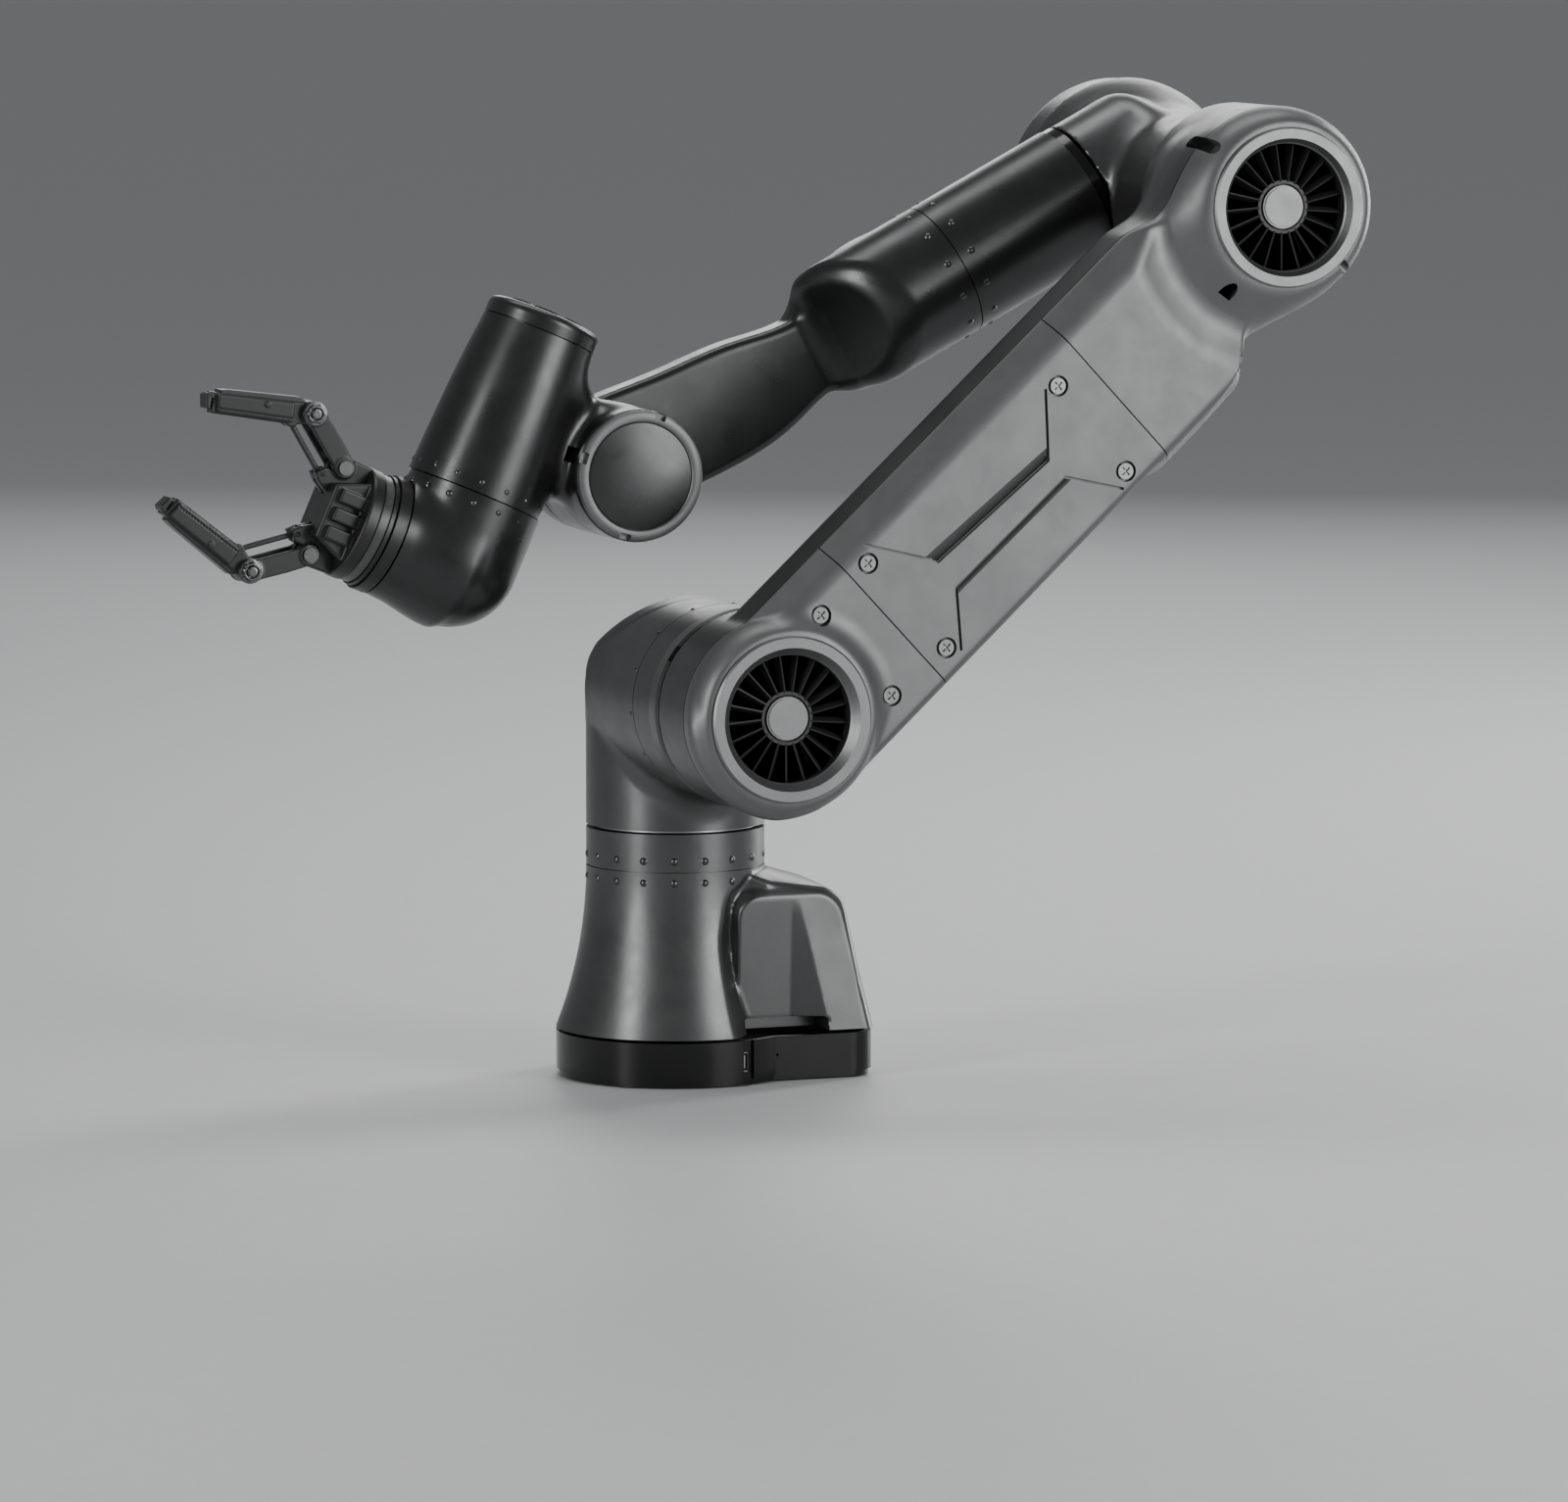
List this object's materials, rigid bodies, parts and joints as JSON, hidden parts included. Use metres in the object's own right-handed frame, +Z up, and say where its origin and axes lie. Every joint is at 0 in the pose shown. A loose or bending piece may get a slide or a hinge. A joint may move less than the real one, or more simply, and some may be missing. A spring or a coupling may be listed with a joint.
{
  "type": "desktop robot arm",
  "caption": "Table-top jointed robot arm with a flared base, offset upper arm, tapered forearm, bent wrist and a two-finger linkage gripper.",
  "frame": {"origin": "centre of the bolt circle under the base, on the base joint's axis at table level", "axes": "+Z up along the base joint's axis, +X the way the arm faces, +Y the side that carries the upper arm"},
  "size_m": [0.5424, 0.217, 0.4535],
  "materials": {
    "gloss_black": "gloss",
    "gunmetal": "satin metallic",
    "dark_gunmetal": "satin metallic",
    "matte_grey": "fine matte grain",
    "vent_metal": "satin",
    "vane_black": "matte",
    "screw_steel": "satin",
    "cast_ballast": "raw",
    "foot_rubber": "matte",
    "steel_drive": "machined",
    "drive_alloy": "machined",
    "board_green": "solder mask",
    "grip_black": "black anodised",
    "status_light": "frosted",
    "pin_steel": "satin"
  },
  "bodies": {
    "base": {"base_foot": "gloss_black", "ballast_plate": "cast_ballast", "rubber_feet": "foot_rubber", "base_housing": "gunmetal", "usb_port": "steel_drive", "controller_board": "board_green", "j1_motor": "steel_drive", "j1_bearing": "steel_drive", "collar_ring": "gunmetal", "collar_screws": "screw_steel"},
    "turret": {"turret_shell": "gunmetal", "turret_hub": "drive_alloy", "shoulder_ring": "gunmetal", "shoulder_screws": "screw_steel", "j2_motor": "drive_alloy"},
    "upper_arm": {"arm_rear_shell": "gunmetal", "shoulder_cover": "matte_grey", "middle_cover": "matte_grey", "elbow_cover": "gunmetal", "cover_screws": "screw_steel", "shoulder_vent_ring": "vent_metal", "elbow_vent_ring": "vent_metal", "shoulder_vanes": "vane_black", "elbow_vanes": "vane_black", "hub_caps": "vent_metal", "arm_hub": "drive_alloy", "j3_motor": "drive_alloy"},
    "shoulder_fan": {"shoulder_fan": "vane_black"},
    "elbow_fan": {"elbow_fan": "vane_black"},
    "elbow": {"elbow_knuckle": "gunmetal", "elbow_cap": "gunmetal", "elbow_hub": "drive_alloy", "j4_motor": "drive_alloy"},
    "forearm": {"forearm_ring": "gloss_black", "forearm_tube": "dark_gunmetal", "forearm_blade": "dark_gunmetal", "forearm_screws": "screw_steel", "forearm_shaft": "drive_alloy", "wrist_pin": "drive_alloy"},
    "wrist": {"wrist_housing": "dark_gunmetal", "wrist_corner": "dark_gunmetal", "wrist_cap": "dark_gunmetal", "wrist_cover_ring": "dark_gunmetal", "wrist_cover_disc": "matte_grey", "wrist_screws": "screw_steel", "j5_motor": "drive_alloy", "j6_motor": "drive_alloy"},
    "gripper": {"tool_flange": "grip_black", "status_ring": "status_light", "palm": "grip_black", "palm_pins": "pin_steel", "grip_motor": "drive_alloy"},
    "upper_link": {"upper_link": "grip_black", "upper_knuckle_pin": "pin_steel"},
    "lower_link": {"lower_link": "grip_black", "lower_knuckle_pin": "pin_steel"},
    "upper_finger": {"upper_finger": "grip_black"},
    "lower_finger": {"lower_finger": "grip_black"},
    "upper_rod": {"upper_rod": "grip_black"},
    "lower_rod": {"lower_rod": "grip_black"}
  },
  "joints": [
    {"name": "base_yaw", "type": "hinge", "parent": "base", "child": "turret", "pos_m": [0, 0, 0.1], "axis": [0, 0, 1], "range_deg": [-170, 170]},
    {"name": "shoulder_pitch", "type": "hinge", "parent": "turret", "child": "upper_arm", "pos_m": [0, 0, 0.179], "axis": [0, 1, 0], "range_deg": [-40, 50]},
    {"name": "elbow_pitch", "type": "hinge", "parent": "upper_arm", "child": "elbow", "pos_m": [-0.23691, 0, 0.40148], "axis": [0, 1, 0], "range_deg": [-165, 5]},
    {"name": "forearm_roll", "type": "hinge", "parent": "elbow", "child": "forearm", "pos_m": [-0.22677, 0.008, 0.42055], "axis": [0.8829, 0, -0.4695], "range_deg": [-100, 100]},
    {"name": "wrist_pitch", "type": "hinge", "parent": "forearm", "child": "wrist", "pos_m": [0.03634, 0, 0.28065], "axis": [0, 1, 0], "range_deg": [-100, 35]},
    {"name": "tool_roll", "type": "hinge", "parent": "wrist", "child": "gripper", "pos_m": [0.11914, 0.028, 0.24195], "axis": [0.9171, 0, 0.3987], "range_deg": [-180, 180]},
    {"name": "grip", "type": "hinge", "parent": "gripper", "child": "upper_link", "pos_m": [0.16854, 0.028, 0.28633], "axis": [0, 1, 0], "range_deg": [-20, 42]},
    {"name": "lower_link_turn", "type": "hinge", "parent": "gripper", "child": "lower_link", "pos_m": [0.18529, 0.028, 0.24782], "axis": [0, 1, 0], "range_deg": [-42, 20]},
    {"name": "upper_finger_turn", "type": "hinge", "parent": "upper_link", "child": "upper_finger", "pos_m": [0.18252, 0.028, 0.31094], "axis": [0, 1, 0], "range_deg": [-42, 20]},
    {"name": "lower_finger_turn", "type": "hinge", "parent": "lower_link", "child": "lower_finger", "pos_m": [0.21282, 0.028, 0.24126], "axis": [0, 1, 0], "range_deg": [-20, 42]},
    {"name": "upper_rod_turn", "type": "hinge", "parent": "gripper", "child": "upper_rod", "pos_m": [0.17847, 0.028, 0.28356], "axis": [0, 1, 0], "range_deg": [-20, 42]},
    {"name": "lower_rod_turn", "type": "hinge", "parent": "gripper", "child": "lower_rod", "pos_m": [0.19003, 0.028, 0.25697], "axis": [0, 1, 0], "range_deg": [-42, 20]},
    {"name": "shoulder_fan_spin", "type": "hinge", "parent": "upper_arm", "child": "shoulder_fan", "pos_m": [0, 0.13, 0.179], "axis": [0, 1, 0], "continuous": true},
    {"name": "elbow_fan_spin", "type": "hinge", "parent": "upper_arm", "child": "elbow_fan", "pos_m": [-0.23691, 0.13, 0.40148], "axis": [0, 1, 0], "continuous": true}
  ],
  "couplings": [
    {"joint": "lower_link_turn", "follows": "grip", "ratio": -1},
    {"joint": "upper_finger_turn", "follows": "grip", "ratio": -1},
    {"joint": "lower_finger_turn", "follows": "grip", "ratio": 1},
    {"joint": "upper_rod_turn", "follows": "grip", "ratio": 1},
    {"joint": "lower_rod_turn", "follows": "grip", "ratio": -1}
  ]
}
